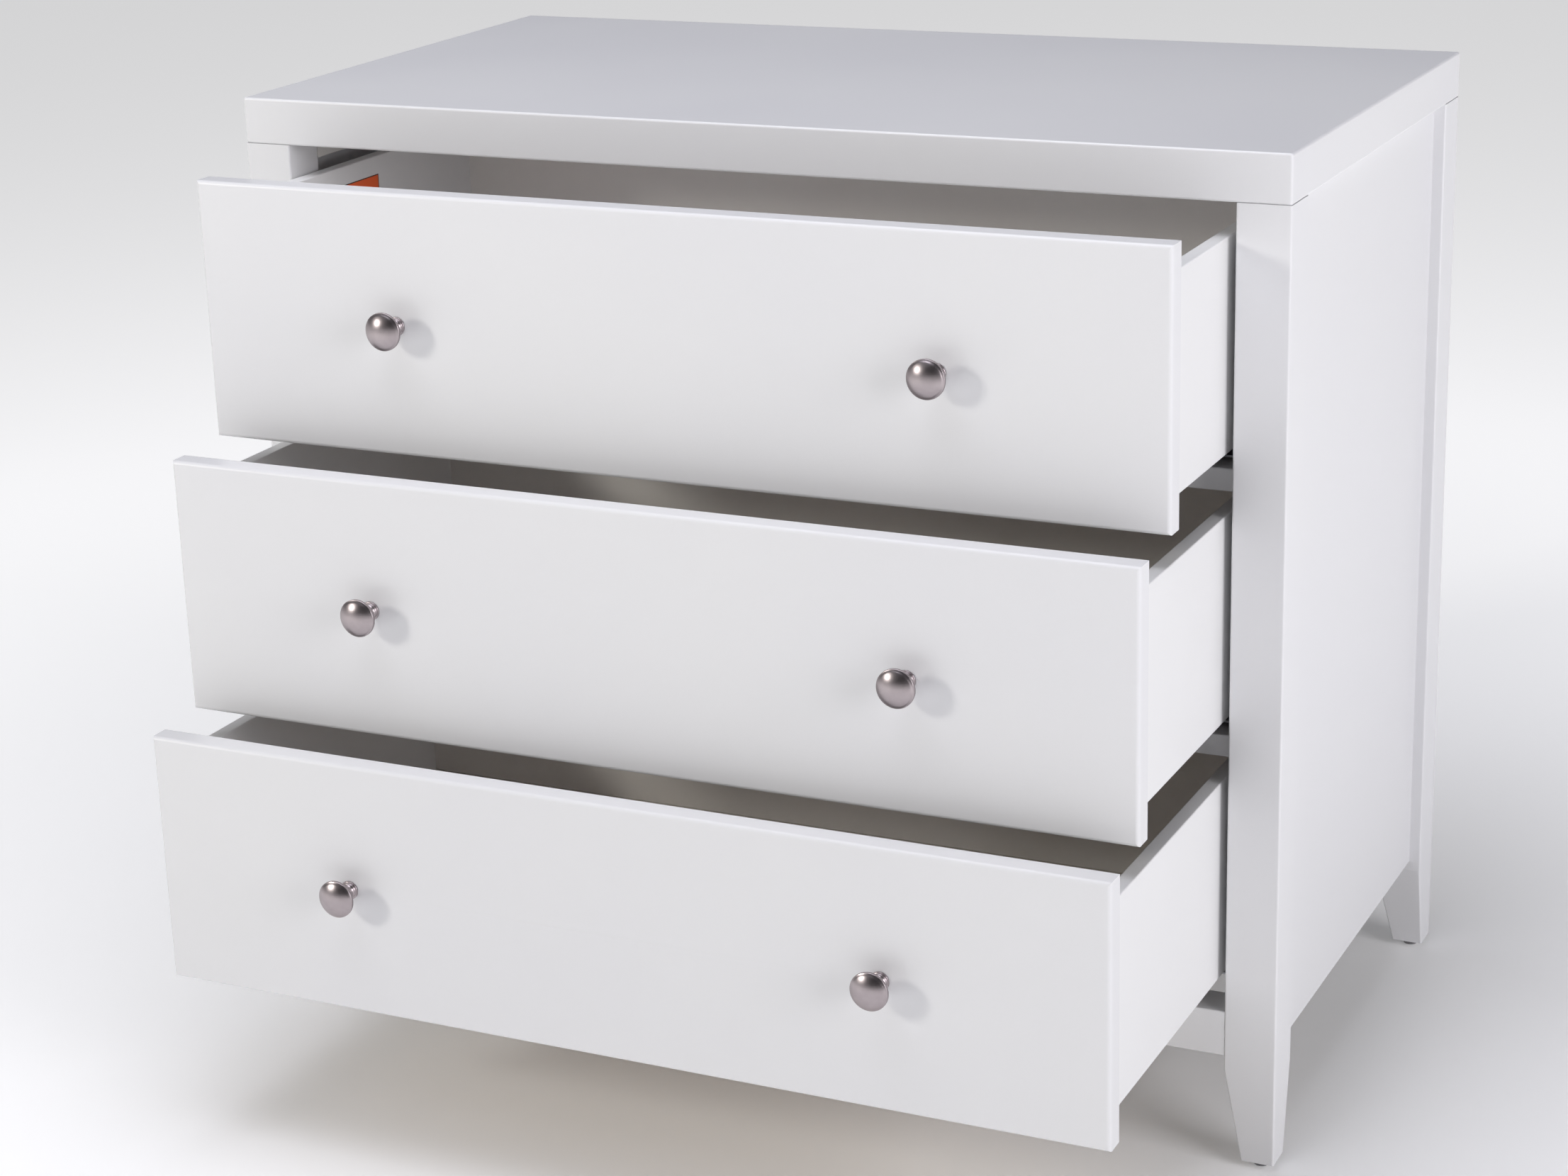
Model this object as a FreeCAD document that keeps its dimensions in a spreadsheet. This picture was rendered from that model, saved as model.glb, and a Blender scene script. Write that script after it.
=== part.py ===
import FreeCAD, Part
import os
import re

import Sketcher

# A free-standing chest of three wide drawers on tapered legs: a thick top flush with four
# square posts, recessed side panels, and drawers with inset fronts on concealed ball runners.
# X runs left to right, Y from the front (-) to the back (+), Z up. The origin is on the floor
# under the middle of the carcass. The drawers stand part open, each by its own amount.

SIZES = [
    ("width", 900, "carcass, outside of the posts"),
    ("depth", 484, "carcass, front of the posts to their back"),
    ("height", 816, "floor to the face of the top"),
    ("top_thickness", 38, "top panel"),
    ("top_easing", 2, "rounding of the top panel's edges"),
    ("easing", 1, "rounding of the edges of rails and drawer boards"),
    ("post_side", 42, "square section of a post"),
    ("post_easing", 1.5, "rounding of a post's long edges"),
    ("foot_side", 27, "square section at the bottom of a leg"),
    ("taper_top", 83, "floor to where the leg starts to taper"),
    ("glide_height", 6, "nail-on glide, below the leg"),
    ("glide_foot", 12, "glide diameter on the floor"),
    ("glide_head", 16, "glide diameter against the leg"),
    ("glide_pin", 2.5, "diameter of the glide's nail"),
    ("glide_pin_length", 15, "length of the glide's nail"),
    ("panel_recess", 10, "side panel behind the posts' outer face"),
    ("panel_thickness", 12, "side panel"),
    ("panel_bottom", 92, "floor to the lower edge of the side and back panels"),
    ("groove_depth", 8, "grooves in the posts that hold the panels"),
    ("back_thickness", 6, "back panel"),
    ("back_recess", 8, "back panel behind the posts' rear face"),
    ("bottom_rail_lift", 95, "floor to the bottom rails"),
    ("bottom_rail_height", 38, "bottom rails"),
    ("bottom_rail_depth", 35, "front bottom rail, front to back"),
    ("bottom_rail_setback", 0.6, "front bottom rail behind the posts' face"),
    ("rear_rail_depth", 22, "rear bottom rail, front to back"),
    ("divider_thickness", 18, "rail between two drawers"),
    ("divider_depth", 60, "rail between two drawers, front to back"),
    ("divider_setback", 20, "rail between two drawers behind the posts' face"),
    ("cleat_height", 18, "cleat under the top"),
    ("bearer_lift", 5, "runner bearer above the bottom of its drawer front"),
    ("bearer_height", 45, "runner bearer"),
    ("drawer_gap", 3.75, "gap above and below each drawer front"),
    ("side_gap", 1.75, "gap between a drawer front and each post"),
    ("front_thickness", 18, "drawer front"),
    ("front_rounding", 3, "rounding of the edges of a drawer front's face"),
    ("box_clearance", 6.5, "drawer side to post"),
    ("box_depth", 386, "drawer side, front to back"),
    ("side_thickness", 12, "drawer side"),
    ("side_foot", 22, "drawer side above the bottom of its front"),
    ("side_drop", 22.5, "drawer side below the top of its front"),
    ("box_back_thickness", 12, "drawer back"),
    ("bottom_lift", 13, "drawer bottom above the lower edge of the sides"),
    ("bottom_thickness", 6, "drawer bottom"),
    ("bottom_groove", 5, "grooves that hold the drawer bottom"),
    ("gauge", 1.5, "sheet steel of the runners"),
    ("rail_lift", 11, "cabinet rail above the bottom of its drawer front"),
    ("rail_setback", 37, "cabinet rail behind the posts' face"),
    ("rail_length", 400, "cabinet rail"),
    ("rail_width", 36, "channel of the cabinet rail"),
    ("rail_side_gap", 1, "channel of the cabinet rail to the drawer side"),
    ("rail_flange", 30, "upright flange of the cabinet rail"),
    ("lip_width", 7, "lips that hold the drawer rail down"),
    ("lip_gap", 0.3, "play under the lips"),
    ("ball_space", 6, "height between the rails"),
    ("ball_play", 0.1, "play above and below each ball"),
    ("wing_gap", 0.5, "drawer rail to each wall of the channel"),
    ("hat_width", 16, "raised middle of the drawer rail"),
    ("hat_setback", 2, "drawer rail behind the drawer front"),
    ("hat_length", 380, "drawer rail"),
    ("cage_length", 56, "ball cage"),
    ("cage_thickness", 3, "ball cage"),
    ("ball_pitch", 10, "centre to centre of the balls in a row"),
    ("ball_hole_play", 0.1, "radial play of a ball in its cage"),
    ("screw_diameter", 3.5, "shank of a runner screw"),
    ("screw_length", 14, "shank of a runner screw inside the bearer"),
    ("screw_head", 7, "diameter of a runner screw's head"),
    ("screw_head_height", 2, "runner screw's head"),
    ("screw_hole_play", 0.3, "radial play of a screw in the flange"),
    ("screw_height", 20, "runner screws above the bottom of the rail"),
    ("screw_margin", 40, "outer runner screws to the ends of the rail"),
    ("knob_spread", 456, "centre to centre of a drawer's knobs"),
    ("knob_cap_radius", 15.2, "knob, widest"),
    ("knob_rim_low", 18.6, "knob, front of drawer to the rim"),
    ("knob_rim_high", 20.6, "knob, front of drawer to the edge of the dome"),
    ("knob_height", 26.5, "knob, front of drawer to the top of the dome"),
    ("knob_neck_radius", 4.8, "knob, thinnest"),
    ("knob_neck_low", 5, "knob, start of the neck"),
    ("knob_neck_high", 10, "knob, end of the neck"),
    ("knob_collar_radius", 6.4, "knob, ring above the base"),
    ("knob_collar_height", 3.4, "knob, front of drawer to the top of the ring"),
    ("knob_base_radius", 7.6, "knob, base"),
    ("knob_base_height", 1.8, "knob, base"),
    ("knob_bore_depth", 10, "threaded hole in the knob"),
    ("knob_screw_diameter", 4, "shank of a knob screw"),
    ("knob_screw_head", 8.5, "diameter of a knob screw's head"),
    ("knob_screw_head_height", 2.4, "knob screw's head"),
    ("knob_hole_play", 0.25, "radial play of a knob screw in the drawer front"),
    ("label_setback", 168, "paper label behind the drawer's face"),
    ("label_length", 72, "paper label"),
    ("label_height", 40, "paper label"),
    ("label_drop", 15.5, "paper label below the top of the drawer side"),
    ("label_thickness", 0.2, "paper label"),
    ("open_lower", 259, "how far the lower drawer stands open"),
    ("open_middle", 200.5, "how far the middle drawer stands open"),
    ("open_upper", 136, "how far the upper drawer stands open"),
]

BALLS_PER_ROW = 5
SCREWS_PER_RAIL = 3
LEVELS = ["lower", "middle", "upper"]

# Places that several pieces share, as expressions of the sizes above.
UNDERSIDE = "(height - top_thickness)"
RAIL_TOP = "(bottom_rail_lift + bottom_rail_height)"
FRONT_HEIGHT = f"(({UNDERSIDE} - {RAIL_TOP} - 4 * drawer_gap) / 3)"
POST_LINE = "(width / 2 - post_side)"
FACE = "(0 - depth / 2)"
BEHIND_POST = f"({FACE} + post_side)"
BETWEEN_POSTS = "(depth - 2 * post_side)"
PANEL_LINE = "(width / 2 - panel_recess - panel_thickness)"
BACK_LINE = "(depth / 2 - back_recess - back_thickness)"
BATTEN_WIDTH = "(post_side - panel_recess - panel_thickness)"
FRONT_HALF = f"({POST_LINE} - side_gap)"
BOX_LINE = f"({POST_LINE} - box_clearance)"
INNER_LINE = f"({BOX_LINE} - side_thickness)"
SIDE_HEIGHT = f"({FRONT_HEIGHT} - side_foot - side_drop)"
CHANNEL = "(box_clearance + side_thickness + rail_side_gap)"
CHANNEL_HEIGHT = "(3 * gauge + ball_space + lip_gap)"
WINGS = "(rail_width - 2 * gauge - 2 * wing_gap)"
BRIM = f"(({WINGS} - hat_width) / 2)"
BALL_RADIUS = "(ball_space / 2 - ball_play)"
SCREW_PITCH = f"((rail_length - 2 * screw_margin) / {SCREWS_PER_RAIL - 1})"

os.makedirs("parts", exist_ok=True)
doc = FreeCAD.newDocument("chest_of_drawers")
sheet = doc.addObject("Spreadsheet::Sheet", "Sizes")
for row, (alias, size, meaning) in enumerate(SIZES, start=1):
    sheet.set(f"A{row}", meaning)
    sheet.set(f"B{row}", str(size))
    sheet.setAlias(f"B{row}", alias)
doc.recompute()
subparts = []


# Helpers: binding sizes, sketches and simple solids.

def linked(text):
    """Point every alias in an expression at its cell."""
    return re.sub(r"[a-z_]+", lambda word: "Sizes." + word.group(), str(text))


def number(text):
    return float(sheet.evalExpression(linked(text)))


def bind(thing, name, text):
    thing.setExpression(name, linked(text))


def place(thing, low):
    for axis, text in zip("xyz", low):
        bind(thing, f"Placement.Base.{axis}", text)


def keep(thing, label):
    """Name a finished sub-part."""
    thing.Label = label
    subparts.append(thing)
    return thing


def sketch_on(body, role):
    plane = next(item for item in body.Origin.OriginFeatures if item.Role == role)
    sketch = body.newObject("Sketcher::SketchObject", "Sketch")
    sketch.AttachmentSupport = [(plane, "")]
    sketch.MapMode = "FlatFace"
    return sketch


def pin(sketch, geometry, vertex, point):
    """Hold a sketch point at a pair of expressions measured from the sketch's origin."""
    for kind, axis, text in (("DistanceX", -2, point[0]), ("DistanceY", -1, point[1])):
        if text == "0":
            sketch.addConstraint(Sketcher.Constraint("PointOnObject", geometry, vertex, axis))
            continue
        held = Sketcher.Constraint(kind, -1, 1, geometry, vertex, number(text))
        index = sketch.addConstraint(held)
        bind(sketch, f"Constraints[{index}]", text)


def outline(body, role, points):
    """A closed sketch of straight lines through the given points."""
    sketch = sketch_on(body, role)
    spots = [FreeCAD.Vector(number(across), number(up), 0) for across, up in points]
    for start, end in zip(spots, spots[1:] + spots[:1]):
        sketch.addGeometry(Part.LineSegment(start, end))
    for index in range(len(points)):
        following = (index + 1) % len(points)
        sketch.addConstraint(Sketcher.Constraint("Coincident", index, 2, following, 1))
    for index, point in enumerate(points):
        pin(sketch, index, 1, point)
    return sketch


def pad(body, sketch, length, backwards=False):
    feature = body.newObject("PartDesign::Pad", "Pad")
    feature.Profile = sketch
    feature.Reversed = backwards
    bind(feature, "Length", length)
    doc.recompute()
    return feature


def checked_cut(body, make):
    """Run a cutting feature and make sure that it took material away."""
    before = body.Shape.Volume
    feature = make()
    doc.recompute()
    if body.Shape.Volume > before - 0.5:
        raise RuntimeError(f"{body.Label}: {feature.Label} cut nothing")
    return feature


def pocket_through(body, sketch):
    def make():
        feature = body.newObject("PartDesign::Pocket", "Pocket")
        feature.Profile = sketch
        feature.Type = "ThroughAll"
        feature.Midplane = True
        return feature
    return checked_cut(body, make)


def drill(body, role, centres, diameter):
    """Round holes right through a body, square to one of its origin planes."""
    sketch = sketch_on(body, role)
    upward = FreeCAD.Vector(0, 0, 1)
    for index, centre in enumerate(centres):
        spot = FreeCAD.Vector(number(centre[0]), number(centre[1]), 0)
        sketch.addGeometry(Part.Circle(spot, upward, number(diameter) / 2))
        pin(sketch, index, 3, centre)
        held = sketch.addConstraint(Sketcher.Constraint("Diameter", index, number(diameter)))
        bind(sketch, f"Constraints[{held}]", diameter)
    return pocket_through(body, sketch)


def groove(body, low, size):
    """A square-bottomed groove, given by its low corner and size in the body's own frame."""
    def make():
        feature = body.newObject("PartDesign::SubtractiveBox", "Groove")
        for name, text in zip(("Length", "Width", "Height"), size):
            bind(feature, name, text)
        place(feature, low)
        return feature
    return checked_cut(body, make)


def round_edges(body, feature, radius, wanted):
    """Fillet the edges that the test `wanted` picks."""
    names = []
    for index, edge in enumerate(feature.Shape.Edges, start=1):
        if wanted(edge):
            names.append(f"Edge{index}")
    fillet = body.newObject("PartDesign::Fillet", "Rounding")
    fillet.Base = (feature, names)
    bind(fillet, "Radius", radius)
    doc.recompute()
    return fillet


def runs_along(axes):
    """A test for straight edges that lie along one of the given axes."""
    def test(edge):
        direction = edge.Vertexes[0].Point - edge.Vertexes[-1].Point
        spans = {"x": abs(direction.x), "y": abs(direction.y), "z": abs(direction.z)}
        return max(spans, key=spans.get) in axes
    return test


def board(label, low, size, rounded="", radius="easing"):
    """A rectangular board, given by its low corner and size, eased along the axes in `rounded`."""
    body = doc.addObject("PartDesign::Body", label)
    corners = [("0", "0"), (size[0], "0"), (size[0], size[1]), ("0", size[1])]
    feature = pad(body, outline(body, "XY_Plane", corners), size[2])
    if rounded:
        round_edges(body, feature, radius, runs_along(rounded))
    place(body, low)
    return keep(body, label)


def mirror(source, label):
    """The opposite-handed copy, across the middle of the chest."""
    copy = doc.addObject("Part::Mirroring", label)
    copy.Source = source
    copy.Normal = FreeCAD.Vector(1, 0, 0)
    return copy


def mirrored_pair(source, label):
    """One sub-part of two solids, left and right."""
    pair = doc.addObject("Part::Compound", label)
    pair.Links = [source, mirror(source, label + "_copy")]
    return keep(pair, label)


def solid_of(kind, name, sizes, centre, turn=None):
    """A Part primitive with bound sizes, turned about an axis by an angle if asked."""
    thing = doc.addObject(kind, name)
    for key, text in sizes.items():
        bind(thing, key, text)
    if turn:
        thing.Placement.Rotation = FreeCAD.Rotation(*turn)
    place(thing, centre)
    return thing


# The carcass.

def top_panel():
    low = ("0 - width / 2", FACE, UNDERSIDE)
    board("top_panel", low, ("width", "depth", "top_thickness"), "xyz", "top_easing")


def post(label, corner, turn, grooves):
    """A post on its outer corner: square above, tapered on its two inner faces below."""
    length = f"({UNDERSIDE} - glide_height)"
    body = doc.addObject("PartDesign::Body", label)
    section = [("0", "0"), ("post_side", "0"), ("post_side", "post_side"), ("0", "post_side")]
    pad(body, outline(body, "XY_Plane", section), length)
    wedge = [("foot_side", "0"), ("post_side", "0"), ("post_side", "taper_top - glide_height")]
    pocket_through(body, outline(body, "XZ_Plane", wedge))
    tapered = pocket_through(body, outline(body, "YZ_Plane", wedge))
    round_edges(body, tapered, "post_easing", runs_along("z"))
    for low, size in grooves:
        groove(body, (*low, "panel_bottom - glide_height"), (*size, f"{UNDERSIDE} - panel_bottom"))
    body.Placement.Rotation = FreeCAD.Rotation(FreeCAD.Vector(0, 0, 1), turn)
    place(body, (*corner, "glide_height"))

    def nail_hole():
        feature = body.newObject("PartDesign::SubtractiveCylinder", "NailHole")
        bind(feature, "Radius", "glide_pin / 2")
        bind(feature, "Height", "glide_pin_length")
        place(feature, ("foot_side / 2", "foot_side / 2", "0"))
        return feature
    checked_cut(body, nail_hole)
    return keep(body, label)


def posts():
    inner = "post_side - groove_depth"
    panel_in_front_post = (("panel_recess", inner), ("panel_thickness", "groove_depth"))
    front = post("post_front_left", ("0 - width / 2", FACE), 0, [panel_in_front_post])
    panel_in_rear_post = ((inner, "panel_recess"), ("groove_depth", "panel_thickness"))
    back_in_rear_post = (("back_recess", inner), ("back_thickness", "groove_depth"))
    rear = post("post_rear_left", ("0 - width / 2", "depth / 2"), -90,
                [panel_in_rear_post, back_in_rear_post])
    keep(mirror(front, "post_front_right"), "post_front_right")
    keep(mirror(rear, "post_rear_right"), "post_rear_right")


def glides():
    """Four nail-on glides: a tapered disc and the nail that holds it in the leg."""
    made = []
    for name, sign in (("front", 1), ("rear", -1)):
        centre = ("foot_side / 2 - width / 2", f"{sign} * (foot_side / 2 - depth / 2)")
        disc = solid_of("Part::Cone", f"glide_disc_{name}",
                        {"Radius1": "glide_foot / 2", "Radius2": "glide_head / 2",
                         "Height": "glide_height"}, (*centre, "0"))
        nail = solid_of("Part::Cylinder", f"glide_nail_{name}",
                        {"Radius": "glide_pin / 2", "Height": "glide_pin_length"},
                        (*centre, "glide_height"))
        glide = doc.addObject("Part::MultiFuse", f"glide_{name}")
        glide.Shapes = [disc, nail]
        made += [glide, mirror(glide, f"glide_{name}_copy")]
    group = doc.addObject("Part::Compound", "glides")
    group.Links = made
    keep(group, "glides")


def panels():
    low = ("panel_recess - width / 2", f"{BEHIND_POST} - groove_depth", "panel_bottom")
    tall = f"{UNDERSIDE} - panel_bottom"
    left = board("side_panel_left", low,
                 ("panel_thickness", f"{BETWEEN_POSTS} + 2 * groove_depth", tall))
    keep(mirror(left, "side_panel_right"), "side_panel_right")
    low = (f"0 - {POST_LINE} - groove_depth", BACK_LINE, "panel_bottom")
    board("back_panel", low, (f"2 * ({POST_LINE} + groove_depth)", "back_thickness", tall))


def rails():
    wide = f"2 * {POST_LINE}"
    left = f"0 - {POST_LINE}"
    board("bottom_rail", (left, f"{FACE} + bottom_rail_setback", "bottom_rail_lift"),
          (wide, "bottom_rail_depth", "bottom_rail_height"), "x")
    board("rear_rail", (left, f"{BACK_LINE} - rear_rail_depth", "bottom_rail_lift"),
          (wide, "rear_rail_depth", "bottom_rail_height"), "x")
    for level, name in ((1, "lower"), (2, "upper")):
        middle = f"{front_bottom(level)} - drawer_gap / 2"
        low = (left, f"{FACE} + divider_setback", f"{middle} - divider_thickness / 2")
        board(f"divider_rail_{name}", low, (wide, "divider_depth", "divider_thickness"), "x")


def cleats():
    low = (f"0 - {PANEL_LINE}", BEHIND_POST, f"{UNDERSIDE} - cleat_height")
    left = board("cleat_left", low, (BATTEN_WIDTH, BETWEEN_POSTS, "cleat_height"), "y")
    keep(mirror(left, "cleat_right"), "cleat_right")


# Runners: bearers and cabinet rails on the carcass, drawer rails and ball cages that travel.

def front_bottom(level):
    """Height of the lower edge of a drawer front, counted from the lowest drawer."""
    return f"({RAIL_TOP} + drawer_gap + {level} * ({FRONT_HEIGHT} + drawer_gap))"


def screw_places():
    """Distances of the runner screws from the front end of their rail."""
    return [f"(screw_margin + {index} * {SCREW_PITCH})" for index in range(SCREWS_PER_RAIL)]


def bearers():
    """Battens between the posts that bring the runners flush with the posts' inner faces."""
    left = []
    for level, name in enumerate(LEVELS):
        low = (f"0 - {PANEL_LINE}", BEHIND_POST, f"{front_bottom(level)} + bearer_lift")
        body = board(f"bearer_left_{name}", low, (BATTEN_WIDTH, BETWEEN_POSTS, "bearer_height"))
        subparts.remove(body)
        tall = "rail_lift + screw_height - bearer_lift"
        holes = [(f"rail_setback - post_side + {along}", tall) for along in screw_places()]
        drill(body, "YZ_Plane", holes, "screw_diameter")
        left.append(body)
    group = doc.addObject("Part::Compound", "bearers_left")
    group.Links = left
    keep(group, "bearers_left")
    keep(mirror(group, "bearers_right"), "bearers_right")


def cabinet_rails(level, name):
    """Pressed steel: an upright flange on the bearer, and a lipped channel under the drawer."""
    label = f"{name}_cabinet_rails"
    body = doc.addObject("PartDesign::Body", label + "_left")
    near = CHANNEL
    far = f"({CHANNEL} + rail_width)"
    top = CHANNEL_HEIGHT
    under_lip = f"({top} - gauge)"
    profile = [
        ("0", "0"), (far, "0"), (far, top), (f"{far} - lip_width", top),
        (f"{far} - lip_width", under_lip), (f"{far} - gauge", under_lip),
        (f"{far} - gauge", "gauge"), (f"{near} + gauge", "gauge"),
        (f"{near} + gauge", under_lip), (f"{near} + lip_width", under_lip),
        (f"{near} + lip_width", top), (near, top), (near, "gauge"),
        ("gauge", "gauge"), ("gauge", "rail_flange"), ("0", "rail_flange"),
    ]
    pad(body, outline(body, "XZ_Plane", profile), "rail_length", backwards=True)
    holes = [(along, "screw_height") for along in screw_places()]
    drill(body, "YZ_Plane", holes, "screw_diameter + 2 * screw_hole_play")
    place(body, (f"0 - {POST_LINE}", f"{FACE} + rail_setback",
                 f"{front_bottom(level)} + rail_lift"))
    mirrored_pair(body, label)


def runner_screws():
    """Pan-head screws through the cabinet rails' flanges into the bearers."""
    left = []
    sideways = (FreeCAD.Vector(0, 1, 0), 90)
    for level, name in enumerate(LEVELS):
        tall = f"{front_bottom(level)} + rail_lift + screw_height"
        for index, along in enumerate(screw_places()):
            spot = (f"{FACE} + rail_setback + {along}", tall)
            shank = solid_of("Part::Cylinder", f"screw_shank_{name}_{index}",
                             {"Radius": "screw_diameter / 2", "Height": "screw_length + gauge"},
                             (f"0 - {POST_LINE} - screw_length", *spot), sideways)
            head = solid_of("Part::Cylinder", f"screw_head_{name}_{index}",
                            {"Radius": "screw_head / 2", "Height": "screw_head_height"},
                            (f"gauge - {POST_LINE}", *spot), sideways)
            screw = doc.addObject("Part::MultiFuse", f"screw_{name}_{index}")
            screw.Shapes = [shank, head]
            left.append(screw)
    side = doc.addObject("Part::Compound", "runner_screws_left")
    side.Links = left
    mirrored_pair(side, "runner_screws")


def drawer_rails(level, name):
    """Hat-section rails under the drawer bottom; their brims run under the channel's lips."""
    label = f"{name}_drawer_rails"
    body = doc.addObject("PartDesign::Body", label + "_left")
    lift = "rail_lift + gauge + ball_space"
    top = f"(side_foot + bottom_lift - ({lift}))"
    hollow_left = f"{BRIM} + gauge"
    hollow_right = f"{WINGS} - {BRIM} - gauge"
    profile = [
        ("0", "0"), (hollow_left, "0"), (hollow_left, f"{top} - gauge"),
        (hollow_right, f"{top} - gauge"), (hollow_right, "0"), (WINGS, "0"),
        (WINGS, "gauge"), (f"{WINGS} - {BRIM}", "gauge"), (f"{WINGS} - {BRIM}", top),
        (BRIM, top), (BRIM, "gauge"), ("0", "gauge"),
    ]
    pad(body, outline(body, "XZ_Plane", profile), "hat_length", backwards=True)
    place(body, (f"{CHANNEL} + gauge + wing_gap - {POST_LINE}",
                 f"{FACE} + front_thickness + hat_setback - open_{name}",
                 f"{front_bottom(level)} + {lift}"))
    mirrored_pair(body, label)


def ball_rows():
    """Centres of the balls, measured from the low corner of their cage."""
    first = f"(cage_length - {BALLS_PER_ROW - 1} * ball_pitch) / 2"
    near = f"({BRIM} / 2)"
    far = f"({WINGS} - {near})"
    rows = []
    for index in range(BALLS_PER_ROW):
        along = f"({first} + {index} * ball_pitch)"
        rows += [(near, along), (far, along)]
    return rows


def ball_cages(level, name):
    """Flat cages of balls between the rails. They travel half as far as the drawer."""
    closed = f"(rail_setback + front_thickness + hat_setback + hat_length) / 2"
    low = (f"{CHANNEL} + gauge + wing_gap - {POST_LINE}",
           f"{FACE} + {closed} - cage_length / 2 - open_{name} / 2",
           f"{front_bottom(level)} + rail_lift + gauge + (ball_space - cage_thickness) / 2")
    size = (WINGS, "cage_length", "cage_thickness")
    cage = board(f"{name}_cage_left", low, size)
    subparts.remove(cage)
    drill(cage, "XY_Plane", ball_rows(), f"2 * ({BALL_RADIUS} + ball_hole_play)")
    mirrored_pair(cage, f"{name}_ball_cages")
    balls = []
    for index, (across, along) in enumerate(ball_rows()):
        centre = (f"{low[0]} + {across}", f"{low[1]} + {along}", f"{low[2]} + cage_thickness / 2")
        balls.append(solid_of("Part::Sphere", f"{name}_ball_{index}",
                              {"Radius": BALL_RADIUS}, centre))
    side = doc.addObject("Part::Compound", f"{name}_balls_left")
    side.Links = balls
    mirrored_pair(side, f"{name}_balls")


# The drawers.

def drawer_front(level, name):
    low = (f"0 - {FRONT_HALF}", f"{FACE} - open_{name}", front_bottom(level))
    size = (f"2 * {FRONT_HALF}", "front_thickness", FRONT_HEIGHT)
    front = board(f"{name}_front", low, size)

    def on_face(edge):
        return all(abs(vertex.Y) < 0.001 for vertex in edge.Vertexes)
    round_edges(front, front.Tip, "front_rounding", on_face)
    wide = f"({INNER_LINE} + bottom_groove)"
    groove(front, (f"{FRONT_HALF} - {wide}", "front_thickness - bottom_groove",
                   "side_foot + bottom_lift"), (f"2 * {wide}", "bottom_groove", "bottom_thickness"))
    holes = [(f"{FRONT_HALF} {sign} knob_spread / 2", f"{FRONT_HEIGHT} / 2") for sign in "-+"]
    drill(front, "XZ_Plane", holes, "knob_screw_diameter + 2 * knob_hole_play")


def drawer_box(level, name):
    """Two sides, a back that stands on the bottom, and the bottom in its grooves."""
    behind = f"{FACE} + front_thickness - open_{name}"
    foot = f"{front_bottom(level)} + side_foot"
    left = board(f"{name}_side_left", (f"0 - {BOX_LINE}", behind, foot),
                 ("side_thickness", "box_depth", SIDE_HEIGHT), "y")
    groove(left, ("side_thickness - bottom_groove", "0", "bottom_lift"),
           ("bottom_groove", "box_depth", "bottom_thickness"))
    keep(mirror(left, f"{name}_side_right"), f"{name}_side_right")
    floor = "(bottom_lift + bottom_thickness)"
    board(f"{name}_back", (f"0 - {INNER_LINE}", f"{behind} + box_depth - box_back_thickness",
                           f"{foot} + {floor}"),
          (f"2 * {INNER_LINE}", "box_back_thickness", f"{SIDE_HEIGHT} - {floor}"), "x")
    wide = f"({INNER_LINE} + bottom_groove)"
    board(f"{name}_bottom", (f"0 - {wide}", f"{behind} - bottom_groove", f"{foot} + bottom_lift"),
          (f"2 * {wide}", "box_depth + bottom_groove", "bottom_thickness"))


def knob_profile(body):
    """Half section of the knob: base, ring, neck, cone, rim and dome, with the screw's bore."""
    bore = "knob_screw_diameter / 2"
    points = [
        (bore, "0"), ("knob_base_radius", "0"), ("knob_base_radius", "knob_base_height"),
        ("knob_collar_radius", "knob_base_height"), ("knob_collar_radius", "knob_collar_height"),
        ("knob_neck_radius", "knob_neck_low"), ("knob_neck_radius", "knob_neck_high"),
        ("knob_cap_radius", "knob_rim_low"), ("knob_cap_radius", "knob_rim_high"),
        ("0", "knob_height"), ("0", "knob_bore_depth"), (bore, "knob_bore_depth"),
    ]
    sketch = sketch_on(body, "XZ_Plane")
    spots = [FreeCAD.Vector(number(across), number(up), 0) for across, up in points]
    rise = spots[9].y - spots[8].y
    radius = (spots[8].x ** 2 + rise ** 2) / (2 * rise)
    centre = FreeCAD.Vector(0, spots[9].y - radius, 0)
    dome = 8
    for index, start in enumerate(spots):
        end = spots[(index + 1) % len(spots)]
        if index == dome:
            halfway = FreeCAD.Vector(start.x / 2, centre.y + (radius ** 2 - start.x ** 2 / 4) ** 0.5, 0)
            sketch.addGeometry(Part.Arc(start, halfway, end))
        else:
            sketch.addGeometry(Part.LineSegment(start, end))
    for index, point in enumerate(points):
        following = (index + 1) % len(points)
        sketch.addConstraint(Sketcher.Constraint("Coincident", index, 2, following, 1))
    for index, point in enumerate(points):
        pin(sketch, index, 1, point)
    sketch.addConstraint(Sketcher.Constraint("PointOnObject", dome, 3, -2))
    return sketch


def knobs(level, name):
    body = doc.addObject("PartDesign::Body", f"{name}_knob_left")
    turned = body.newObject("PartDesign::Revolution", "Turning")
    turned.Profile = knob_profile(body)
    turned.ReferenceAxis = (turned.Profile[0], ["V_Axis"])
    turned.Angle = 360
    doc.recompute()
    body.Placement.Rotation = FreeCAD.Rotation(FreeCAD.Vector(1, 0, 0), 90)
    place(body, ("0 - knob_spread / 2", f"{FACE} - open_{name}",
                 f"{front_bottom(level)} + {FRONT_HEIGHT} / 2"))
    keep(body, f"{name}_knob_left")
    keep(mirror(body, f"{name}_knob_right"), f"{name}_knob_right")


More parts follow.
